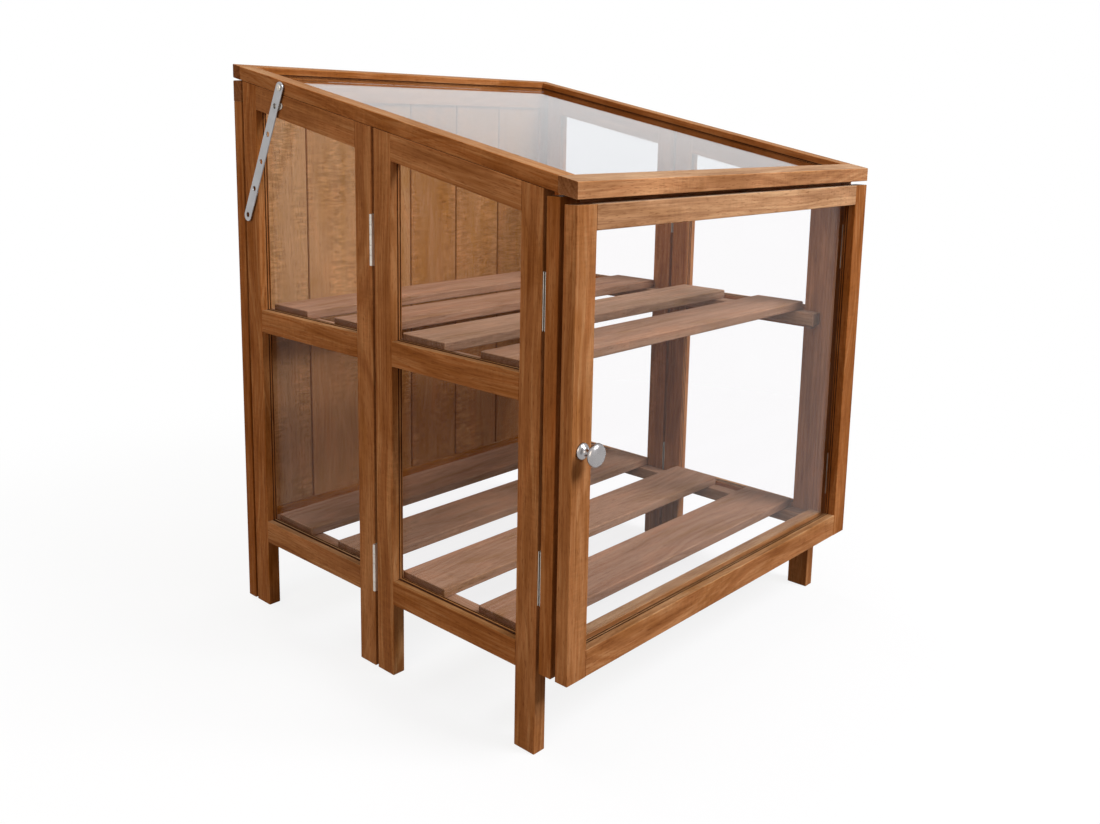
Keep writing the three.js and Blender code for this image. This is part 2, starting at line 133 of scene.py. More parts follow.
# Colours that those effects multiply onto the wood, and how strongly at most
RED_TINT = (1.0, 0.86, 0.76, 1.0)
GOLD_TINT = (1.02, 1.0, 0.82, 1.0)
CURL_DARK = (0.79, 0.76, 0.70, 1.0)
CURL_LIGHT = (1.21, 1.18, 1.13, 1.0)
PORE_TINT, PORE_SHARE = (0.5, 0.4, 0.34, 1.0), 0.6
FIBRE_TINT, FIBRE_SHARE = (0.72, 0.64, 0.58, 1.0), 0.22
SAWN_TINT, SAWN_SHARE = (0.5, 0.42, 0.38, 1.0), 0.85
PALE_EDGE = (1.22, 1.18, 1.12, 1.0)
DARK_EDGE = (0.56, 0.46, 0.40, 1.0)
# Tint of the painted sky reflection on faces that look up
PAINTED_SKY_SHEEN = (0.88, 1.08, 1.32, 1.0)
# Painted shade on the back boards: its tint, full up to the first height and gone above the second
PAINTED_SHADE_TINT = (0.86, 0.74, 0.66, 1.0)
PAINTED_SHADE_FROM = 200 * MM
PAINTED_SHADE_TO = 480 * MM

# What one step of tone does to the value, the saturation and the hue of the wood
TONE_VALUE = 0.14
TONE_SATURATION = -0.06
TONE_HUE = 0.004

# Relief of the wood: depth, and the shares of streaks and fibres that stand out and of pores that sink in
GRAIN_DEPTH = 0.3 * MM
GRAIN_STRENGTH = 0.3
RELIEF_STREAKS, RELIEF_FIBRES, RELIEF_PORES = 0.5, 0.35, 0.6
UNEVEN_FIBRES, UNEVEN_PATCHES = 0.6, 0.4

# Glass: noises of a faint film of dust and a slow wave, and the light that it lets through to the wood
FILM = ((9.0, 9.0, 9.0), 4.0, 0.6, 0.0)
FILM_ROUGHNESS = 0.035
WAVE = ((3.0, 3.0, 3.0), 0.0, 0.5, 0.0)
WAVE_DEPTH = 1.0 * MM
WAVE_STRENGTH = 0.02
GLASS_CLEAR = (0.93, 0.94, 0.94, 1.0)

# Metal: smears of handling, and fine lines of the finish, whose noise has its scale from each metal
SMEARS = ((60.0, 60.0, 60.0), 3.0, 0.6, 0.0)
SMEAR_SHADES = (0.86, 1.05)
SMEAR_SHARE = 0.5
LINES = (2.0, 0.65, 0.0)
LINE_DEPTH = 0.05 * MM

# Turned metalwork
KNOB_SIDES = 64
SCREW_SIDES = 32
KNUCKLE_SIDES = 24
PIN_SIDES = 16
CHAMFER = 0.3 * MM

# The knob's profile from the rose on the door over the neck to the head, in shares of radius and reach
KNOB_PROFILE = (
    (0, 0), (0.72, 0), (0.72, 0.03), (0.70, 0.07), (0.62, 0.12), (0.50, 0.16), (0.38, 0.19),
    (0.31, 0.23), (0.28, 0.30), (0.27, 0.42), (0.28, 0.50), (0.33, 0.54),
    (0.50, 0.58), (0.74, 0.62), (0.90, 0.67), (0.98, 0.73), (1.0, 0.78), (0.98, 0.83),
    (0.90, 0.89), (0.76, 0.94), (0.56, 0.975), (0.30, 0.993), (0, 1.0),
)

# Hinges between the panels. The rear corner ones' leaves end inside their gap, out of sight.
KNUCKLES = 5
KNUCKLE_GAP = 0.35 * MM
PIN_SHARE = 0.6
PANEL_LEAF = 1.0 * MM
LEAF_SINK = 4 * MM
PLATE_SOFT = 0.25 * MM

# Hinges of the lid and the door, and the screws on the lid's: their places along the leaf and their heads
LEAF = 1.4 * MM
LEAF_SOFT = 0.2 * MM
SCREW_INSET = 6 * MM
SCREW_PLACES = (0.14, 0.5, 0.86)
SCREW_HEAD = 3.2 * MM
SCREW_PROFILE = (
    (0, 0), (SCREW_HEAD, 0), (0.9 * SCREW_HEAD, 0.35 * MM), (0.5 * SCREW_HEAD, 0.6 * MM), (0, 0.65 * MM),
)

# The stay's strap, from its screw down, and how it leans when the lid is shut
STRAP_HALF = 7.5 * MM
STRAP_TOP = 7 * MM
STRAP_TAIL = 8.5 * MM
STRAP_SOFT = 0.35 * MM
STRAP_LEAN = math.radians(26)
STRAP_HOLE = 3.4 * MM
PIVOT_HOLE = 2.2 * MM
FIRST_HOLE = 25 * MM
HOLE_PITCH = 39 * MM
HOLE_COUNT = 5
CIRCLE_STEPS = 32
ROUND_END_STEPS = 16

# The stay's screw: shank, washer behind the strap and a domed head. Its top, with the recess for the
# driver, is a table of radii and of depths below the highest point.
SHANK = 1.9 * MM
WASHER = 5.0 * MM
WASHER_CLEAR = 0.2 * MM
STRAP_CLEAR = 0.3 * MM
DOME = 4.2 * MM
DOME_FOOT = 0.96 * DOME
DOME_RIM = 0.25 * MM
RECESS = 1.5 * MM
DOME_TOP = (
    (0.86 * DOME, 0.5 * MM), (0.6 * DOME, 0.15 * MM), (RECESS, 0), (0.7 * RECESS, 0.9 * MM), (0, 1.0 * MM),
)

# The stay's peg and its plate, a disc with an ear that carries the fixing screw's hole
EAR = 4.0 * MM
EAR_REACH = 8.5 * MM
EAR_HOLE = 1.5 * MM
PEG_PLATE = 1.5 * MM
PEG = 2.7 * MM
DISC_STEPS = 24
EAR_STEPS = 12

# Dowels that carry the shelves: their distance from the panel's edge, and how deep they sit in the stile
DOWEL_INSET = 15 * MM
DOWEL = 3 * MM
DOWEL_SINK = 4 * MM
SHELF_SEAT = 0.3 * MM

# Camera fitted to the photograph: focal length and optical centre in pixels, place and turn in the frame
IMAGE_WIDTH = 1100
IMAGE_HEIGHT = 824
FOCAL_PIXELS = 1054.9
CENTRE_ROW_PIXELS = 302.0
SENSOR_MM = 36.0
CAMERA_PLACE = (-1.05526, -0.94614, 0.67187)
CAMERA_TILT = math.radians(80.16)
CAMERA_ROLL = math.radians(1.08)
CAMERA_TURN = math.radians(-47.66)

# Floor and surround: how pale they look, and how much light they give the object
FLOOR_REACH = 40.0
FLOOR_DROP = 0.2 * MM
FLOOR_PALE = (0.88, 0.88, 0.88, 1.0)
FLOOR_BOUNCE = (0.15, 0.125, 0.10, 1.0)
GLOW_FROM, GLOW_TO = 0.3, 1.3
GLOW_NEAR, GLOW_FAR = 0.84, 1.0
AMBIENT = (0.172, 0.158, 0.140, 1.0)
WHITE = (1.0, 1.0, 1.0, 1.0)

# Square lamps: name, place, height of the aim, side, watts, colour, and whether mirror images show it
LAMPS = (
    ("key", (1.1, -3.0, 3.2), 0.35, 1.6, 173, (1.0, 1.01, 1.07), True),
    ("top", (-0.3, 0.5, 3.2), 0.4, 2.2, 25, (1.0, 1.03, 1.12), False),
    ("side", (-3.2, -0.8, 1.6), 0.35, 2.0, 38, (1.0, 0.85, 0.70), True),
    ("rear", (0.2, 3.7, 1.2), 0.35, 2.0, 64, (1.0, 0.98, 0.96), False),
    ("right", (3.5, -0.7, 1.1), 0.35, 1.8, 12, (1.0, 1.0, 1.02), False),
)


# Sizes read from the frame
def low(node):
    return Vector(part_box(node)[0])


def high(node):
    return Vector(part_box(node)[1])


BOARD = high("door_frame").y - low("door_frame").y
SLOPE = (high("left_rear_frame").z - high("left_front_frame").z) / (
    high("left_rear_frame").y - high("left_front_frame").y
)
SLOPE_AXIS = Vector((0, 1, SLOPE)).normalized()


# Camera, made first
def add_camera():
    data = bpy.data.cameras.new("camera")
    camera = bpy.data.objects.new("camera", data)
    bpy.context.scene.collection.objects.link(camera)
    data.sensor_width = SENSOR_MM
    data.lens = FOCAL_PIXELS / IMAGE_WIDTH * SENSOR_MM
    data.shift_y = -(IMAGE_HEIGHT / 2 - CENTRE_ROW_PIXELS) / IMAGE_WIDTH
    turn = Matrix.Rotation(CAMERA_TURN, 4, "Z")
    tilt = Matrix.Rotation(CAMERA_TILT, 4, "X")
    roll = Matrix.Rotation(CAMERA_ROLL, 4, "Z")
    camera.matrix_world = Matrix.Translation(CAMERA_PLACE) @ turn @ tilt @ roll
    bpy.context.scene.camera = camera


add_camera()


# Node helpers: every material, and the world, is a small graph of named inputs
class Graph:
    def __init__(self, owner, output="ShaderNodeOutputMaterial"):
        owner.use_nodes = True
        self.owner = owner
        self.tree = owner.node_tree
        self.tree.nodes.clear()
        self.output = self.node(output)

    def node(self, kind, inputs=None, **settings):
        made = self.tree.nodes.new(kind)
        for key, value in settings.items():
            setattr(made, key, value)
        for key, value in (inputs or {}).items():
            self.plug(made.inputs[key], value)
        return made

    def plug(self, socket, value):
        if isinstance(value, bpy.types.NodeSocket):
            self.tree.links.new(value, socket)
        else:
            socket.default_value = value

    def show(self, shader):
        """Makes a shader what the surface, or the world, shows."""
        self.tree.links.new(shader.outputs[0], self.output.inputs[0])

    def math(self, operation, first, second=0.0, third=0.0):
        inputs = {0: first, 1: second, 2: third}
        return self.node("ShaderNodeMath", inputs, operation=operation).outputs[0]

    def sum(self, *pairs):
        """The sum of values, each with its share."""
        total, *others = [self.math("MULTIPLY", value, share) for value, share in pairs]
        for other in others:
            total = self.math("ADD", total, other)
        return total

    def noise(self, place, scale, detail, rough, distortion):
        scaled = self.node("ShaderNodeVectorMath", {0: place, 1: scale}, operation="MULTIPLY").outputs[0]
        inputs = {
            "Vector": scaled,
            "Scale": 1.0,
            "Detail": detail,
            "Roughness": rough,
            "Distortion": distortion,
        }
        return self.node("ShaderNodeTexNoise", inputs).outputs["Fac"]

    def between(self, value, span, to_low=0.0, to_high=1.0):
        inputs = {"Value": value, 1: span[0], 2: span[1], 3: to_low, 4: to_high}
        return self.node("ShaderNodeMapRange", inputs).outputs[0]

    def mix(self, share, first, second, blend="MIX"):
        made = self.node("ShaderNodeMix", data_type="RGBA", blend_type=blend)
        colours = [socket for socket in made.inputs if socket.type == "RGBA"]
        self.plug(made.inputs[0], share)
        self.plug(colours[0], first)
        self.plug(colours[1], second)
        return next(socket for socket in made.outputs if socket.type == "RGBA")

    def tinted(self, colour, tint, share):
        """A colour with a tint multiplied onto it, by a share."""
        return self.mix(share, colour, self.mix(1.0, colour, tint, "MULTIPLY"))

    def attribute(self, name, output="Fac"):
        return self.node("ShaderNodeAttribute", attribute_name=name).outputs[output]

    def position(self):
        return self.node("ShaderNodeNewGeometry").outputs["Position"]

    def bump(self, strength, depth, height):
        inputs = {"Strength": strength, "Distance": depth, "Height": height}
        return self.node("ShaderNodeBump", inputs).outputs[0]


def rgb(red, green, blue):
    """A colour written as 0 to 255 screen values."""
    def linear(value):
        share = value / 255
        return share / 12.92 if share <= 0.04045 else ((share + 0.055) / 1.055) ** 2.4

    return (linear(red), linear(green), linear(blue), 1.0)


# Wood. The grain attribute runs along each bar, so every stile, rail and slat has its own figure.
def wood_material(
    name,
    dark,
    middle,
    light,
    spread,
    ripple,
    rough,
    sheen,
    edge_tint,
    edge_share,
    painted_sky_sheen=None,
    painted_shade_tint=None,
):
    g = Graph(bpy.data.materials.new(name))
    grain = g.attribute("grain", "Vector")
    tone = g.attribute("tone")
    along, across, through = g.node("ShaderNodeSeparateXYZ", {0: grain}).outputs

    # Growth rings about a pith that wanders along the bar
    drift = g.noise(grain, *DRIFT)
    sway = g.math("MULTIPLY_ADD", drift, DRIFT_REACH, -DRIFT_REACH / 2)
    side = g.math("ADD", across, sway)
    rise = g.math("SUBTRACT", through, sway)
    radius = g.math("SQRT", g.math("ADD", g.math("MULTIPLY", side, side), g.math("MULTIPLY", rise, rise)))
    rings = g.noise(g.node("ShaderNodeCombineXYZ", {0: radius, 1: along}).outputs[0], *RINGS)

    streaks = g.noise(grain, *STREAKS)
    fibres = g.noise(grain, *FIBRES)
    pores = g.between(g.noise(grain, *PORES), PORE_RANGE)
    patches = g.noise(grain, *PATCHES)

    # Figure from dark to light, then redder and yellower patches
    figure = g.sum((rings, RING_SHARE), (streaks, STREAK_SHARE), (patches, PATCH_SHARE))
    ramp = g.node("ShaderNodeValToRGB", {0: g.between(figure, (0.5 - spread, 0.5 + spread))})
    ramp.color_ramp.elements[0].color = dark
    ramp.color_ramp.elements[1].color = light
    ramp.color_ramp.elements.new(0.5).color = middle
    colour = ramp.outputs[0]
    colour = g.tinted(colour, RED_TINT, g.between(patches, RED_RANGE))
    colour = g.tinted(colour, GOLD_TINT, g.between(patches, GOLD_RANGE))

    # Curly figure: short bands across the grain
    bands = g.between(g.noise(grain, *FLAME), FLAME_RANGE)
    curl = g.between(g.noise(grain, *CURL), CURL_RANGE)
    colour = g.tinted(colour, g.mix(bands, CURL_DARK, CURL_LIGHT), g.math("MULTIPLY", curl, ripple))

    # The bar's own tone, then pores, fibres, edges and sawn ends
    toned = {
        "Hue": g.math("MULTIPLY_ADD", tone, TONE_HUE, 0.5),
        "Saturation": g.math("MULTIPLY_ADD", tone, TONE_SATURATION, 1.0),
        "Value": g.math("MULTIPLY_ADD", tone, TONE_VALUE, 1.0),
        "Color": colour,
    }
    colour = g.node("ShaderNodeHueSaturation", toned).outputs[0]
    colour = g.tinted(colour, PORE_TINT, g.math("MULTIPLY", pores, PORE_SHARE))
    colour = g.tinted(colour, FIBRE_TINT, g.between(fibres, FIBRE_RANGE, 0.0, FIBRE_SHARE))
    colour = g.tinted(colour, edge_tint, g.math("MULTIPLY", g.attribute("edge"), edge_share))
    colour = g.tinted(colour, SAWN_TINT, g.math("MULTIPLY", g.attribute("end_grain"), SAWN_SHARE))

    # Painted sky reflection: faces that look up are tinted paler, greyer and bluer
    if painted_sky_sheen is not None:
        colour = g.tinted(colour, painted_sky_sheen, g.attribute("sky_sheen_mask"))

    # Painted shade: boards that stand near the ground darken towards their feet, where the shelves shade
    # them
    if painted_shade_tint is not None:
        height = g.node("ShaderNodeSeparateXYZ", {0: g.position()}).outputs[2]
        colour = g.tinted(colour, painted_shade_tint, g.between(height, (PAINTED_SHADE_FROM, PAINTED_SHADE_TO), 1.0, 0.0))

    uneven = g.sum((fibres, UNEVEN_FIBRES), (patches, UNEVEN_PATCHES))
    relief = g.sum((streaks, RELIEF_STREAKS), (fibres, RELIEF_FIBRES))
    relief = g.math("SUBTRACT", relief, g.math("MULTIPLY", pores, RELIEF_PORES))
    g.show(g.node("ShaderNodeBsdfPrincipled", {
        "Base Color": colour,
        "Roughness": g.between(uneven, MIDDLE_RANGE, *rough),
        "Normal": g.bump(GRAIN_STRENGTH, GRAIN_DEPTH, relief),
        "Specular IOR Level": sheen,
    }))
    return g.owner


# Glass. Light and soft bounces pass straight through it, so that it shades the wood inside only a little.
def glass_material(name, level, tint):
    g = Graph(bpy.data.materials.new(name))
    place = g.position()
    film = g.noise(place, *FILM)
    wave = g.noise(place, *WAVE)
    shader = g.node("ShaderNodeBsdfPrincipled", {
        "Base Color": tint,
        "Roughness": g.between(film, FILM_RANGE, 0.0, FILM_ROUGHNESS),
        "IOR": level,
        "Transmission Weight": 1.0,
        "Normal": g.bump(WAVE_STRENGTH, WAVE_DEPTH, wave),
    })
    clear = g.node("ShaderNodeBsdfTransparent", {"Color": GLASS_CLEAR})
    rays = g.node("ShaderNodeLightPath").outputs
    passes = g.math("MAXIMUM", rays["Is Shadow Ray"], rays["Is Diffuse Ray"])
    g.show(g.node("ShaderNodeMixShader", {0: passes, 1: shader.outputs[0], 2: clear.outputs[0]}))
    return g.owner


def metal_material(name, colour, rough, brush, scratch, metallic=1.0):
    g = Graph(bpy.data.materials.new(name))
    place = g.position()
    smears = g.noise(place, *SMEARS)
    lines = g.noise(place, brush, *LINES)
    shade = g.between(smears, MIDDLE_RANGE, *SMEAR_SHADES)
    grey = g.node("ShaderNodeCombineXYZ", {0: shade, 1: shade, 2: shade}).outputs[0]
    uneven = g.sum((smears, SMEAR_SHARE), (lines, 1 - SMEAR_SHARE))
    g.show(g.node("ShaderNodeBsdfPrincipled", {
        "Base Color": g.mix(1.0, colour, grey, "MULTIPLY"),
        "Metallic": metallic,
        "Roughness": g.between(uneven, MIDDLE_RANGE, *rough),
        "Normal": g.bump(scratch, LINE_DEPTH, lines),
    }))
    return g.owner


FRAME_WOOD = wood_material(
    "oiled hardwood",
    dark=rgb(130, 74, 35),
    middle=rgb(171, 111, 64),
    light=rgb(204, 153, 104),
    spread=0.16,
    ripple=0.35,
    rough=(0.46, 0.64),
    sheen=0.03,
    edge_tint=PALE_EDGE,
    edge_share=0.25,
    painted_sky_sheen=PAINTED_SKY_SHEEN,
)
SHELF_WOOD = wood_material(
    "shelf hardwood",
    dark=rgb(138, 98, 73),
    middle=rgb(172, 133, 107),
    light=rgb(200, 165, 139),
    spread=0.19,
    ripple=0.3,
    rough=(0.62, 0.8),
    sheen=0.08,
    edge_tint=PALE_EDGE,
    edge_share=0.15,
)
BOARD_WOOD = wood_material(
    "boarded back",
    dark=rgb(157, 107, 64),
    middle=rgb(182, 135, 91),
    light=rgb(207, 166, 121),
    spread=0.26,
    ripple=1.1,
    rough=(0.5, 0.7),
    sheen=0.03,
    edge_tint=DARK_EDGE,
    edge_share=0.8,
    painted_shade_tint=PAINTED_SHADE_TINT,
)
# Dark wood for the painted shade in the grooves beside the panes
GROOVE_SHADE_WOOD = wood_material(
    "groove shadow",
    dark=rgb(44, 24, 14),
    middle=rgb(58, 32, 18),
    light=rgb(76, 45, 27),
    spread=0.2,
    ripple=0.2,
    rough=(0.7, 0.85),
    sheen=0.03,
    edge_tint=PALE_EDGE,
    edge_share=0.0,
)
LID_GLASS = glass_material("lid glass", level=1.19, tint=(0.79, 0.81, 0.84, 1.0))
PANE_GLASS = glass_material("pane glass", level=1.10, tint=(0.98, 0.975, 0.98, 1.0))
DOOR_GLASS = glass_material("door glass", level=1.17, tint=(0.985, 0.98, 0.985, 1.0))
STEEL = metal_material(
    "hinge steel",
    colour=(0.62, 0.58, 0.53, 1.0),
    rough=(0.32, 0.5),
    brush=(400.0, 400.0, 40.0),
    scratch=0.2,
    metallic=0.7,
)
ALUMINIUM = metal_material(
    "stay aluminium",
    colour=(0.42, 0.42, 0.43, 1.0),
    rough=(0.36, 0.52),
    brush=(900.0, 60.0, 60.0),
    scratch=0.2,
    metallic=0.8,
)
CHROME = metal_material(
    "knob chrome",
    colour=(0.36, 0.345, 0.345, 1.0),
    rough=(0.22, 0.32),
    brush=(90.0, 90.0, 90.0),
    scratch=0.03,
)


# A piece of the object: a mesh that rides on a body, takes its finish from a slot and may stand for nodes
def add_piece(name, mesh, material, body, nodes=()):
    piece = bpy.data.objects.new(name, mesh)
    bpy.context.scene.collection.objects.link(piece)
    mesh.materials.append(material)
    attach(piece, body)
    if nodes:
        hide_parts(*nodes)
    return piece


def body_of(node):
    groups = frame["record"]["behaviour"]["bodies"]
    return next(body for body, nodes in groups.items() if node in nodes)


def smooth(piece):
    for polygon in piece.data.polygons:
        polygon.use_smooth = True


def even_normals(piece):
    smooth(piece)
    modifier = piece.modifiers.new("even normals", "WEIGHTED_NORMAL")
    modifier.weight = 100
    modifier.keep_sharp = True


# Timber: bars with softened edges, each with its own run of grain
class Timber:
    def __init__(self, name, sawn=END_SAWN):
        self.name = name
        self.sawn = sawn
        self.bars = bmesh.new()
        self.grain = self.bars.verts.layers.float_vector.new("grain")
        self.tone = self.bars.verts.layers.float.new("tone")
        self.end = self.bars.faces.layers.float.new("end_grain")
        self.edge = self.bars.faces.layers.float.new("edge")
        self.sky_sheen_mask = self.bars.faces.layers.float.new("sky_sheen_mask")
        self.random = random.Random(name)

    def bar(self, outline, push, grain, edge=EDGE_ROUND, end=END_ROUND, steps=ROUND_STEPS, tone=None):
        """A bar: an outline of corners, pushed through its thickness, with its fibres along grain."""
        old = set(self.bars.verts)
        near = [self.bars.verts.new(p) for p in outline]
        far = [self.bars.verts.new(p + push) for p in outline]
        faces = [self.bars.faces.new(near), self.bars.faces.new(list(reversed(far)))]
        for i in range(len(outline)):
            j = (i + 1) % len(outline)
            faces.append(self.bars.faces.new([near[j], near[i], far[i], far[j]]))
        bmesh.ops.recalc_face_normals(self.bars, faces=faces)
        flats = [f.normal.copy() for f in faces]
        mine = set(self.bars.verts) - old
        long_edges = [e for e in self.bars.edges if e.verts[0] in mine and runs_along(e, grain)]
        self.soften(long_edges, edge, steps)
        mine = set(self.bars.verts) - old
        ends = [
            f
            for f in self.bars.faces
            if f.verts[0] in mine and abs(f.normal.dot(grain)) > ROUGHLY_ALONG
        ]
        self.soften(list({e for f in ends for e in f.edges}), end, 1)
        self.mark(set(self.bars.verts) - old, outline[0], grain, flats, tone)

    def soften(self, edges, offset, steps):
        if offset:
            bmesh.ops.bevel(
                self.bars,
                geom=edges,
                offset=offset,
                segments=steps,
                profile=0.5,
                affect="EDGES",
                clamp_overlap=True,
            )

    def mark(self, verts, origin, grain, flats, tone):
        """Gives the bar its run of grain and its tone, and marks its sawn ends, edges and the upward faces
        that get the painted sky reflection.
        """
        side = grain.cross(X) if abs(grain.x) < ROUGHLY_ALONG else grain.cross(Z)
        side.normalize()
        third = grain.cross(side)
        shift = Vector((
            self.random.uniform(0, GRAIN_RUN),
            self.random.choice((-1, 1)) * self.random.uniform(*PITH_SIDE),
            self.random.choice((-1, 1)) * self.random.uniform(*PITH_DEPTH),
        ))
        drawn = self.random.uniform(-1, 1)
        tone = RANDOM_TONE * drawn if tone is None else tone
        for v in verts:
            offset = v.co - origin
            v[self.grain] = Vector((offset.dot(grain), offset.dot(side), offset.dot(third))) + shift
            v[self.tone] = tone
        for f in {f for v in verts for f in v.link_faces}:
            f[self.end] = self.sawn if abs(f.normal.dot(grain)) > NEARLY_ALONG else 0.0
            f[self.edge] = 0.0 if max(f.normal.dot(flat) for flat in flats) > QUITE_FLAT else 1.0
            # Upward faces carry the painted sky reflection
            f[self.sky_sheen_mask] = 1.0 if f.normal.z > ROUGHLY_ALONG else 0.0

    def finish(self, material, body, nodes=()):
        mesh = bpy.data.meshes.new(self.name)
        self.bars.to_mesh(mesh)
        self.bars.free()
        even_normals(add_piece(self.name, mesh, material, body, nodes))


def runs_along(edge, grain):
    return abs((edge.verts[0].co - edge.verts[1].co).normalized().dot(grain)) > NEARLY_ALONG


# Outlines of bars: in a plane across the width, and in a side's plane
def board_face(x0, x1, y, z0, z1):
    return [Vector((x0, y, z0)), Vector((x1, y, z0)), Vector((x1, y, z1)), Vector((x0, y, z1))]


def side_face(x, y0, y1, under, over):
    """From y0 to y1, between two edges that are each a height or a function of y."""
    def at(edge, y):
        return Vector((x, y, edge(y) if callable(edge) else edge))

    return [at(under, y0), at(under, y1), at(over, y1), at(over, y0)]


# Side half-panels: stiles run through, rails fit between them
def side_panel(side, half):
    node = f"{side}_{half}_frame"
    lower, upper = f"{side}_{half}_lower_pane", f"{side}_{half}_upper_pane"
    lowest, highest = low(node), high(node)
    outer = lowest.x if side == "left" else highest.x - BOARD
    push = X * BOARD
    y_near, y_far = low(lower).y + GLASS_BITE, high(lower).y - GLASS_BITE
    bottom_top = low(lower).z + GLASS_BITE
    middle_low, middle_high = high(lower).z - GLASS_BITE, low(upper).z + GLASS_BITE
    bottom_low = bottom_top - (middle_high - middle_low)

    def top_at(y):
        return highest.z - SLOPE * (highest.y - y)

    def window_top_at(y):
        return high(upper).z - GLASS_BITE - SLOPE * (high(upper).y - y)

    timber = Timber(f"{side}_{half}_timber")
    for (y0, y1), tone in zip(((lowest.y, y_near), (y_far, highest.y)), SIDE_STILE_TONES[half]):
        timber.bar(side_face(outer, y0, y1, lowest.z, top_at), push, Z, tone=tone)
    for z0, z1 in ((bottom_low, bottom_top), (middle_low, middle_high)):
        timber.bar(side_face(outer, y_near, y_far, z0, z1), push, Y)
    timber.bar(side_face(outer, y_near, y_far, window_top_at, top_at), push, SLOPE_AXIS)
    timber.finish(FRAME_WOOD, body_of(node), [node])


for side_name in ("left", "right"):
    for half_name in ("front", "rear"):
        side_panel(side_name, half_name)


# Frames across the width
def two_stiles(timber, node, x_near, x_far, z_top):
    """From the node's lowest point up to z_top."""
    lowest, highest = low(node), high(node)
    for (x0, x1), tone in zip(((lowest.x, x_near), (x_far, highest.x)), STILE_TONES[node]):
        timber.bar(board_face(x0, x1, lowest.y, lowest.z, z_top), Y * BOARD, Z, tone=tone)


def rail(timber, x0, x1, y, z0, z1, tone=None):
    timber.bar(board_face(x0, x1, y, z0, z1), Y * BOARD, X, tone=tone)


def door_like(node):
    """The door and the front frame behind it, which has the same window."""
    pane = "door_pane"
    lowest, highest = low(node), high(node)
    x_near, x_far = low(pane).x + GLASS_BITE, high(pane).x - GLASS_BITE
    z_low = low(pane).z + GLASS_BITE
    z_high = highest.z - (high("door_frame").z - high(pane).z + GLASS_BITE)
    timber = Timber(node.replace("_frame", "_timber"))
    two_stiles(timber, node, x_near, x_far, highest.z)
    rail(timber, x_near, x_far, lowest.y, lowest.z, z_low, SILL_TONE)
    # The top rail's tone carries a painted highlight
    rail(timber, x_near, x_far, lowest.y, z_high, highest.z, DOOR_TOP_HIGHLIGHT_TONE)
    timber.finish(FRAME_WOOD, body_of(node), [node])


door_like("front_frame")
door_like("door_frame")


def back_wall():
    node, panel = "back_frame", "back_panel"
    lowest, highest = low(node), high(node)
    x_near, x_far = low(panel).x + GLASS_BITE, high(panel).x - GLASS_BITE
    z_low, z_high = low(panel).z + GLASS_BITE, high(panel).z - GLASS_BITE
    timber = Timber("back_timber")
    two_stiles(timber, node, x_near, x_far, z_high)
    side_rail = low("left_rear_upper_pane").z - high("left_rear_lower_pane").z + 2 * GLASS_BITE
    rail(timber, x_near, x_far, lowest.y, z_low - side_rail, z_low, BACK_SILL_TONE)
    rail(timber, lowest.x, highest.x, lowest.y, z_high, highest.z)
    timber.finish(FRAME_WOOD, body_of(node), [node])


def back_boards():
    panel = "back_panel"
    lowest, highest = low(panel), high(panel)
    boards = Timber("back_boards")
    edges = [highest.x]
    x = highest.x - GLASS_BITE - BOARD_WIDTH
    while x > lowest.x + GLASS_BITE:
        edges.append(x)
        x -= BOARD_WIDTH
    edges.append(lowest.x)
    push = Y * (highest.y - lowest.y)
    for i, (right, left) in enumerate(zip(edges, edges[1:])):
        corners = board_face(left + BOARD_GAP, right - BOARD_GAP, lowest.y, lowest.z, highest.z)
        boards.bar(corners, push, Z, edge=BOARD_VEE, end=0, steps=1, tone=BOARD_TONES[i % len(BOARD_TONES)])
    middle = (lowest.y + highest.y - TONGUE) / 2
    for x in edges[1:-1]:
        corners = board_face(x - TONGUE_REACH, x + TONGUE_REACH, middle, lowest.z, highest.z)
        boards.bar(corners, Y * TONGUE, Z, edge=0, end=0, tone=TONGUE_TONE)
    boards.finish(BOARD_WOOD, body_of(panel), [panel])


back_wall()
back_boards()


# Lid: front and back rails run the full width, side rails fit between them
def lid():
    node, pane = "lid_frame", "lid_pane"
    lowest, highest = low(node), high(node)
    plumb = highest.z - lowest.z - SLOPE * (highest.y - lowest.y)

    def under(y):
        return lowest.z + SLOPE * (y - lowest.y)

    def over(y):
        return under(y) + plumb

    y_near, y_far = low(pane).y + GLASS_BITE, high(pane).y - GLASS_BITE
    x_near, x_far = low(pane).x + GLASS_BITE, high(pane).x - GLASS_BITE
    timber = Timber("lid_timber")
    for (y0, y1), tone in zip(((lowest.y, y_near), (y_far, highest.y)), LID_RAIL_TONES):
        timber.bar(side_face(lowest.x, y0, y1, under, over), X * (highest.x - lowest.x), X, tone=tone)
    for x0, x1 in ((lowest.x, x_near), (x_far, highest.x)):
        timber.bar(side_face(x0, y_near, y_far, under, over), X * (x1 - x0), SLOPE_AXIS, tone=LID_SIDE_TONE)
    timber.finish(FRAME_WOOD, body_of(node), [node])


lid()


# Painted shade of the grooves: a dark strip round each pane, on both of its faces, where the groove's gap
# lies in shade
def groove_shade_line(timber, corners, push, sill=GROOVE_SHADE_WIDTH):
    """Corners start with the two of the lowest edge, whose strip of painted shade is as wide as sill."""
    count = len(corners)
    inner = []
    for i, corner in enumerate(corners):
        forward = (corners[(i + 1) % count] - corner).normalized()
        backward = (corners[i - 1] - corner).normalized()
        inner.append(corner + (forward + backward) * GROOVE_SHADE_LIP)
    for i in range(count):
        j = (i + 1) % count
        outline = [corners[i], corners[j], inner[j], inner[i]]
        grain = (corners[j] - corners[i]).normalized()
        timber.bar(outline, push * (GROOVE_SHADE_WIDTH if i else sill), grain, edge=0, end=0)


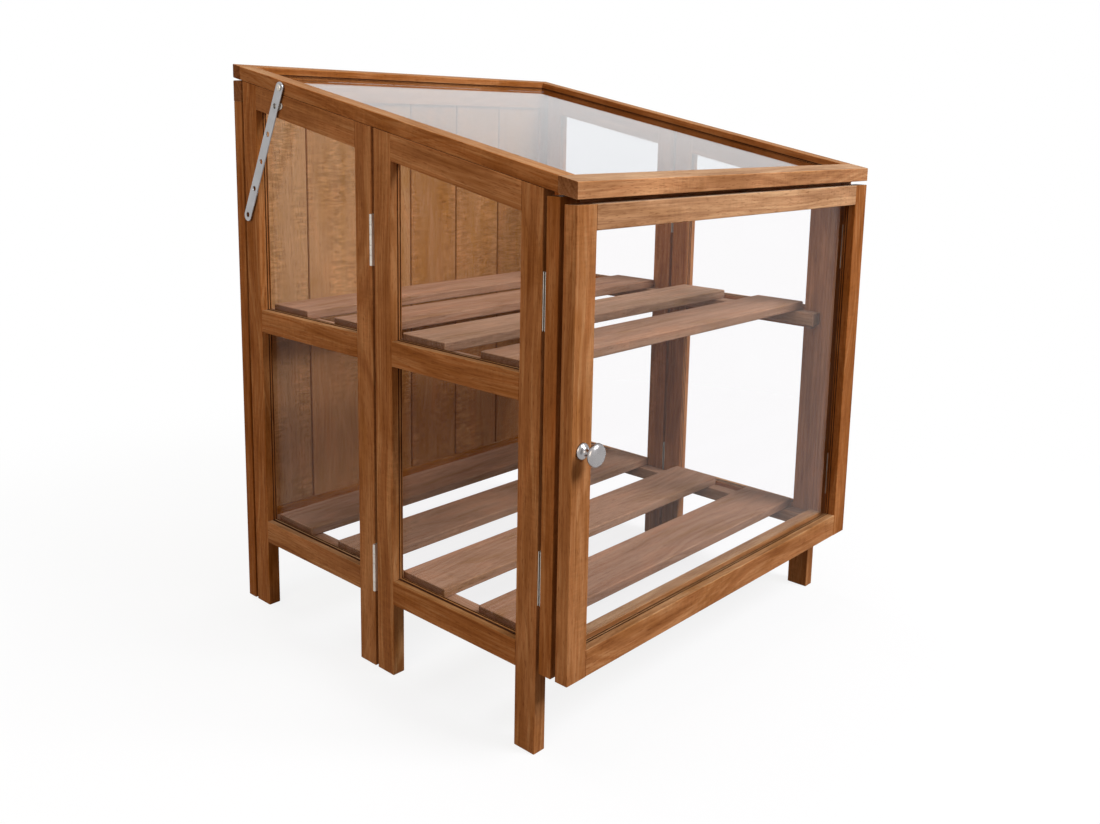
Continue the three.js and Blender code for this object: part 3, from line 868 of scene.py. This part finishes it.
def pane_groove_shades(pane):
    lowest, highest = low(pane), high(pane)
    x0, x1 = lowest.x + GLASS_BITE, highest.x - GLASS_BITE
    y0, y1 = lowest.y + GLASS_BITE, highest.y - GLASS_BITE
    z0, z1 = lowest.z + GLASS_BITE, highest.z - GLASS_BITE
    timber = Timber(f"{pane}_grooves")
    if pane == "lid_pane":
        tops = [highest.z - SLOPE * (highest.y - y) for y in (y0, y1)]
        unders = [lowest.z + SLOPE * (y - lowest.y) for y in (y0, y1)]
        for (near, far), push in ((tops, Z), (unders, -Z)):
            places = ((x0, y0, near), (x1, y0, near), (x1, y1, far), (x0, y1, far))
            groove_shade_line(timber, [Vector(place) for place in places], push)
    elif pane == "door_pane":
        for y, push in ((lowest.y, -Y), (highest.y, Y)):
            groove_shade_line(timber, board_face(x0, x1, y, z0, z1), push)
    else:
        fall = SLOPE if "_upper_" in pane else 0.0
        outer = -X if pane.startswith("left") else X
        for x, push in ((lowest.x, -X), (highest.x, X)):
            corners = side_face(x, y0, y1, z0, lambda y: z1 - fall * (highest.y - y))
            groove_shade_line(timber, corners, push, SILL_SHADE_WIDTH if push == outer else GROOVE_SHADE_WIDTH)
    timber.finish(GROOVE_SHADE_WOOD, body_of(pane))


def own_finish(node, material):
    """For a node that keeps its own solid."""
    mesh = frame["nodes"][node].data
    mesh.materials.clear()
    mesh.materials.append(material)


OTHER_GLASS = {"lid_pane": LID_GLASS, "door_pane": DOOR_GLASS}
for node_name in frame["nodes"]:
    if node_name.endswith("_pane"):
        pane_groove_shades(node_name)
        own_finish(node_name, OTHER_GLASS.get(node_name, PANE_GLASS))


# Shelves: slats run across the width, battens from front to back
def shelf_bar(node, grain, sawn):
    lowest, highest = low(node), high(node)
    timber = Timber(node.replace("_shelf_", "_shelf_timber_"), sawn)
    corners = [
        lowest,
        Vector((highest.x, lowest.y, lowest.z)),
        Vector((highest.x, highest.y, lowest.z)),
        Vector((lowest.x, highest.y, lowest.z)),
    ]
    timber.bar(corners, Z * (highest.z - lowest.z), grain, edge=SLAT_ROUND, end=EDGE_ROUND)
    timber.finish(SHELF_WOOD, body_of(node), [node])


for node_name in frame["nodes"]:
    if "_slat_" in node_name:
        shelf_bar(node_name, X, END_SAWN)
    elif node_name.endswith("_batten"):
        shelf_bar(node_name, Y, BATTEN_SAWN)


# Turned metalwork
def circle(u, v, radius, steps=CIRCLE_STEPS):
    turns = [2 * math.pi * i / steps for i in range(steps)]
    return [(u + radius * math.cos(t), v + radius * math.sin(t)) for t in turns]


def lathe(bm, profile, sides):
    """Profile of (radius, height) about Z; a zero radius is one point."""
    rings = []
    for radius, height in profile:
        if radius == 0:
            rings.append([bm.verts.new((0, 0, height))])
        else:
            rings.append([bm.verts.new((u, v, height)) for u, v in circle(0, 0, radius, sides)])
    for one, two in zip(rings, rings[1:]):
        for i in range(sides):
            j = (i + 1) % sides
            ring = [one[0]] if len(one) == 1 else [one[i], one[j]]
            back = [two[0]] if len(two) == 1 else [two[j], two[i]]
            if len(ring) + len(back) > 2:
                bm.faces.new(ring + back)


def rod_profile(radius, z0, z1):
    """A rod from z0 to z1 with chamfered ends."""
    return [
        (0, z0),
        (radius - CHAMFER, z0),
        (radius, z0 + CHAMFER),
        (radius, z1 - CHAMFER),
        (radius - CHAMFER, z1),
        (0, z1),
    ]


def as_mesh(bm, name, place=None):
    if place is not None:
        bmesh.ops.transform(bm, matrix=place, verts=bm.verts)
    bmesh.ops.recalc_face_normals(bm, faces=bm.faces)
    mesh = bpy.data.meshes.new(name)
    bm.to_mesh(mesh)
    bm.free()
    return mesh


def add_turned(bm, profile, sides, place):
    """Adds a turned part to a mesh, in its place."""
    part = bmesh.new()
    lathe(part, profile, sides)
    mesh = as_mesh(part, "part", place)
    bm.from_mesh(mesh)
    bpy.data.meshes.remove(mesh)


def plate_block(bm, lowest, highest):
    made = bmesh.ops.create_cube(bm, size=1.0)["verts"]
    size = Vector(highest) - Vector(lowest)
    for v in made:
        v.co = Vector(lowest) + Vector((size[i] * (v.co[i] + 0.5) for i in range(3)))
    edges = {e for v in made for e in v.link_edges}
    bmesh.ops.bevel(
        bm, geom=list(edges), offset=PLATE_SOFT, segments=2, profile=0.5, affect="EDGES", clamp_overlap=True
    )


def panel_hinge(node):
    """Two leaves in the gap between two panels and a barrel of knuckles beside them."""
    lowest, highest = low(node), high(node)
    length = highest.z - lowest.z
    radius = (highest.y - lowest.y) / 2
    centre_y = (highest.y + lowest.y) / 2

    # The middle hinges have their barrels outside, the corner ones inside
    outwards = -1 if node.startswith("left_") == ("_middle_" in node) else 1
    barrel_x = (lowest.x if outwards < 0 else highest.x) - outwards * radius
    bm = bmesh.new()
    pitch = length / KNUCKLES
    for i in range(KNUCKLES):
        knuckle = rod_profile(radius, i * pitch + KNUCKLE_GAP / 2, (i + 1) * pitch - KNUCKLE_GAP / 2)
        lathe(bm, knuckle, KNUCKLE_SIDES)
    lathe(bm, rod_profile(radius * PIN_SHARE, 0, length), PIN_SIDES)
    bmesh.ops.translate(bm, verts=bm.verts, vec=(barrel_x, centre_y, lowest.z))
    end_x = lowest.x if outwards > 0 else highest.x
    if "_rear_corner_" in node:
        end_x += outwards * LEAF_SINK
    x0, x1 = sorted((end_x, barrel_x))
    for y in (lowest.y, highest.y - PANEL_LEAF):
        plate_block(bm, (x0, y, lowest.z), (x1, y + PANEL_LEAF, highest.z))
    piece = add_piece(f"{node}_steel", as_mesh(bm, node), STEEL, body_of(node), [node])
    even_normals(piece)


# The lid's and the door's leaves keep their solids, with softened edges
def soft_leaf(node):
    own_finish(node, STEEL)
    soften = frame["nodes"][node].modifiers.new("soft edges", "BEVEL")
    soften.width = LEAF_SOFT
    soften.segments = 2
    soften.limit_method = "ANGLE"


for node_name in frame["nodes"]:
    if "_corner_hinge_" in node_name or "_middle_hinge_" in node_name:
        panel_hinge(node_name)
    elif "_leaf" in node_name:
        soft_leaf(node_name)


# Knob: a domed rose, a neck and a mushroom head, turned about -Y
def knob():
    node = "door_knob"
    lowest, highest = low(node), high(node)
    reach = highest.y - lowest.y
    head = (highest.x - lowest.x) / 2
    bm = bmesh.new()
    lathe(bm, [(share * head, run * reach) for share, run in KNOB_PROFILE], KNOB_SIDES)
    centre = ((lowest.x + highest.x) / 2, highest.y, (lowest.z + highest.z) / 2)
    mesh = as_mesh(bm, node, Matrix.Translation(centre) @ Matrix.Rotation(math.pi / 2, 4, "X"))
    smooth(add_piece("door_knob_chrome", mesh, CHROME, body_of(node), [node]))


knob()


# Stay: a flat strap with rounded ends and holes, a screw through its top and a peg plate behind it
def flat_shape(name, outlines, thickness, soft):
    """A plate from closed outlines, the first its rim and the others holes, with softened edges."""
    curve = bpy.data.curves.new(name, "CURVE")
    curve.dimensions = "2D"
    curve.fill_mode = "BOTH"
    curve.extrude = thickness / 2 - soft
    curve.bevel_depth = soft
    curve.bevel_resolution = 2
    curve.offset = -soft
    for outline in outlines:
        spline = curve.splines.new("POLY")
        spline.points.add(len(outline) - 1)
        for point, (u, v) in zip(spline.points, outline):
            point.co = (u, v, 0, 1)
        spline.use_cyclic_u = True
    holder = bpy.data.objects.new(name, curve)
    bpy.context.scene.collection.objects.link(holder)
    bpy.context.view_layer.update()
    mesh = bpy.data.meshes.new_from_object(holder.evaluated_get(bpy.context.evaluated_depsgraph_get()))
    bpy.data.objects.remove(holder)
    bpy.data.curves.remove(curve)
    return mesh


def arc(radius, start, sweep, steps, u=0.0):
    """Points from angle start through a sweep about (u, 0), both ends included."""
    turns = [start + sweep * i / steps for i in range(steps + 1)]
    return [(u + radius * math.cos(t), radius * math.sin(t)) for t in turns]


def stadium(half, top, bottom):
    up = [math.pi * i / ROUND_END_STEPS for i in range(ROUND_END_STEPS + 1)]
    points = [(half * math.cos(t), top - half + half * math.sin(t)) for t in up]
    return points + [(-half * math.cos(t), bottom + half - half * math.sin(t)) for t in up]


# The outer face of the left side, and the turn from a profile's height to a reach outwards from it
WALL_X = low("left_rear_frame").x
OUTWARDS = Matrix(((0, 0, -1, 0), (1, 0, 0, 0), (0, -1, 0, 0), (0, 0, 0, 1)))


def stay_strap(pivot):
    node = "stay_strap"
    length = FIRST_HOLE + (HOLE_COUNT - 1) * HOLE_PITCH + STRAP_TAIL
    holes = [circle(0, 0, PIVOT_HOLE)]
    holes += [circle(0, -FIRST_HOLE - i * HOLE_PITCH, STRAP_HOLE) for i in range(HOLE_COUNT)]
    thickness = high(node).x - low(node).x
    mesh = flat_shape(node, [stadium(STRAP_HALF, STRAP_TOP, -length)] + holes, thickness, STRAP_SOFT)
    flat_to_side = Matrix(((0, 0, 1, 0), (1, 0, 0, 0), (0, 1, 0, 0), (0, 0, 0, 1)))
    middle = Vector(((low(node).x + high(node).x) / 2, pivot.y, pivot.z))
    mesh.transform(Matrix.Translation(middle) @ Matrix.Rotation(STRAP_LEAN, 4, "X") @ flat_to_side)
    add_piece("stay_strap_aluminium", mesh, ALUMINIUM, body_of(node), [node])


def stay_screw(pivot):
    node, strap = "stay_screw", "stay_strap"
    tip, reach = WALL_X - high(node).x, WALL_X - low(node).x
    strap_in, strap_out = WALL_X - high(strap).x, WALL_X - low(strap).x
    profile = [
        (0, tip),
        (SHANK, tip),
        (SHANK, WASHER_CLEAR),
        (WASHER, WASHER_CLEAR),
        (WASHER, strap_in - STRAP_CLEAR),
        (SHANK, strap_in - STRAP_CLEAR),
        (SHANK, strap_out + STRAP_CLEAR),
        (DOME_FOOT, strap_out + STRAP_CLEAR),
        (DOME, strap_out + STRAP_CLEAR + DOME_RIM),
    ]
    profile += [(radius, reach - depth) for radius, depth in DOME_TOP]
    bm = bmesh.new()
    lathe(bm, profile, SCREW_SIDES)
    mesh = as_mesh(bm, node, Matrix.Translation((WALL_X, pivot.y, pivot.z)) @ OUTWARDS)
    even_normals(add_piece("stay_screw_steel", mesh, STEEL, body_of(node), [node]))


def stay_peg():
    """The peg on its plate, a disc whose ear carries the fixing screw's hole."""
    node = "stay_peg"
    lowest, highest = low(node), high(node)
    disc = (highest.z - lowest.z) / 2
    start = math.acos((disc - EAR) / EAR_REACH)
    rim = arc(disc, start - math.pi, 2 * (math.pi - start), DISC_STEPS)
    rim += arc(EAR, math.pi - start, 2 * start, EAR_STEPS, -EAR_REACH)
    mesh = flat_shape(node, [rim, circle(-EAR_REACH, 0, EAR_HOLE)], PEG_PLATE, PLATE_SOFT)
    bm = bmesh.new()
    bm.from_mesh(mesh)
    tip = WALL_X - lowest.x - WASHER_CLEAR - PEG_PLATE / 2
    lathe(bm, [(0, 0), (PEG, 0), (PEG, tip - CHAMFER), (PEG - CHAMFER, tip), (0, tip)], SCREW_SIDES)
    centre = (WALL_X - WASHER_CLEAR - PEG_PLATE / 2, highest.y - disc, (highest.z + lowest.z) / 2)
    mesh = as_mesh(bm, node, Matrix.Translation(centre) @ OUTWARDS)
    even_normals(add_piece("stay_peg_steel", mesh, STEEL, body_of(node), [node]))


stay_pivot = (low("stay_screw") + high("stay_screw")) / 2
stay_strap(stay_pivot)
stay_screw(stay_pivot)
stay_peg()


# Screws that hold the lid's hinges to the back
def hinge_screws(node):
    lowest, highest = low(node), high(node)
    z = highest.z - SCREW_INSET if "lid_leaf" in node else lowest.z + SCREW_INSET
    y = lowest.y + LEAF
    bm = bmesh.new()
    for share in SCREW_PLACES:
        x = lowest.x + share * (highest.x - lowest.x)
        place = Matrix.Translation((x, y, z)) @ Matrix.Rotation(-math.pi / 2, 4, "X")
        add_turned(bm, SCREW_PROFILE, KNUCKLE_SIDES, place)
    name = f"{node}_screws"
    even_normals(add_piece(name, as_mesh(bm, name), STEEL, body_of(node)))


for node_name in frame["nodes"]:
    if node_name.startswith("lid_hinge_") and node_name.endswith("_leaf"):
        hinge_screws(node_name)


# Dowels that carry the shelves
def dowels(side, half):
    node = f"{side}_{half}_frame"
    inner = low(node).x + BOARD if side == "left" else high(node).x - BOARD
    reach = high(node).x - low(node).x - BOARD
    y = low(node).y + DOWEL_INSET if half == "front" else high(node).y - DOWEL_INSET
    turn = Matrix.Rotation(math.pi / 2 if side == "left" else -math.pi / 2, 4, "Y")
    bm = bmesh.new()
    for shelf in ("bottom_shelf", "middle_shelf"):
        z = low(f"{shelf}_{side}_batten").z - SHELF_SEAT - DOWEL
        place = Matrix.Translation((inner, y, z)) @ turn
        add_turned(bm, rod_profile(DOWEL, -DOWEL_SINK, reach), KNUCKLE_SIDES, place)
    name = f"{side}_{half}_dowels"
    even_normals(add_piece(name, as_mesh(bm, name), SHELF_WOOD, body_of(node)))


for side_name in ("left", "right"):
    for half_name in ("front", "rear"):
        dowels(side_name, half_name)


# Stage: a pale floor that keeps the shadow, a white surround and soft studio light
def seen_share(g):
    """1 for rays that show the background: straight, mirrored or through glass. 0 for those that light."""
    rays = g.node("ShaderNodeLightPath").outputs
    direct = g.math("MAXIMUM", rays["Is Camera Ray"], rays["Is Glossy Ray"])
    return g.math("MAXIMUM", direct, rays["Is Transmission Ray"])


def add_floor():
    g = Graph(bpy.data.materials.new("floor"))
    away = g.node("ShaderNodeVectorMath", {0: g.position()}, operation="LENGTH").outputs["Value"]
    seen = seen_share(g)
    glow = g.math("MULTIPLY", seen, g.between(away, (GLOW_FROM, GLOW_TO), GLOW_NEAR, GLOW_FAR))
    plain = g.node("ShaderNodeBsdfDiffuse", {"Color": g.mix(seen, FLOOR_BOUNCE, FLOOR_PALE)})
    white = g.node("ShaderNodeEmission", {"Color": WHITE, "Strength": 1.0})
    g.show(g.node("ShaderNodeMixShader", {0: glow, 1: plain.outputs[0], 2: white.outputs[0]}))
    mesh = bpy.data.meshes.new("floor")
    corners = [(x * FLOOR_REACH, y * FLOOR_REACH, 0) for x, y in ((-1, -1), (1, -1), (1, 1), (-1, 1))]
    mesh.from_pydata(corners, [], [(0, 1, 2, 3)])
    mesh.materials.append(g.owner)
    floor = bpy.data.objects.new("floor", mesh)
    bpy.context.scene.collection.objects.link(floor)
    floor.location.z = -FLOOR_DROP


def add_world():
    world = bpy.data.worlds.new("studio")
    bpy.context.scene.world = world
    g = Graph(world, "ShaderNodeOutputWorld")
    colour = g.mix(seen_share(g), AMBIENT, WHITE)
    g.show(g.node("ShaderNodeBackground", {"Color": colour, "Strength": 1.0}))


def add_lamp(name, place, aim, side, power, colour, glints):
    """Lamps don't show through glass, and only those with glints show in mirror images."""
    data = bpy.data.lights.new(name, "AREA")
    data.shape = "RECTANGLE"
    data.size = side
    data.size_y = side
    data.energy = power
    data.color = colour
    lamp = bpy.data.objects.new(name, data)
    bpy.context.scene.collection.objects.link(lamp)
    lamp.location = place
    lamp.visible_transmission = False
    lamp.visible_glossy = glints
    lamp.rotation_euler = (Z * aim - Vector(place)).to_track_quat("-Z", "Y").to_euler()


add_floor()
add_world()
for lamp_values in LAMPS:
    add_lamp(*lamp_values)

bpy.context.scene.view_settings.view_transform = "Standard"
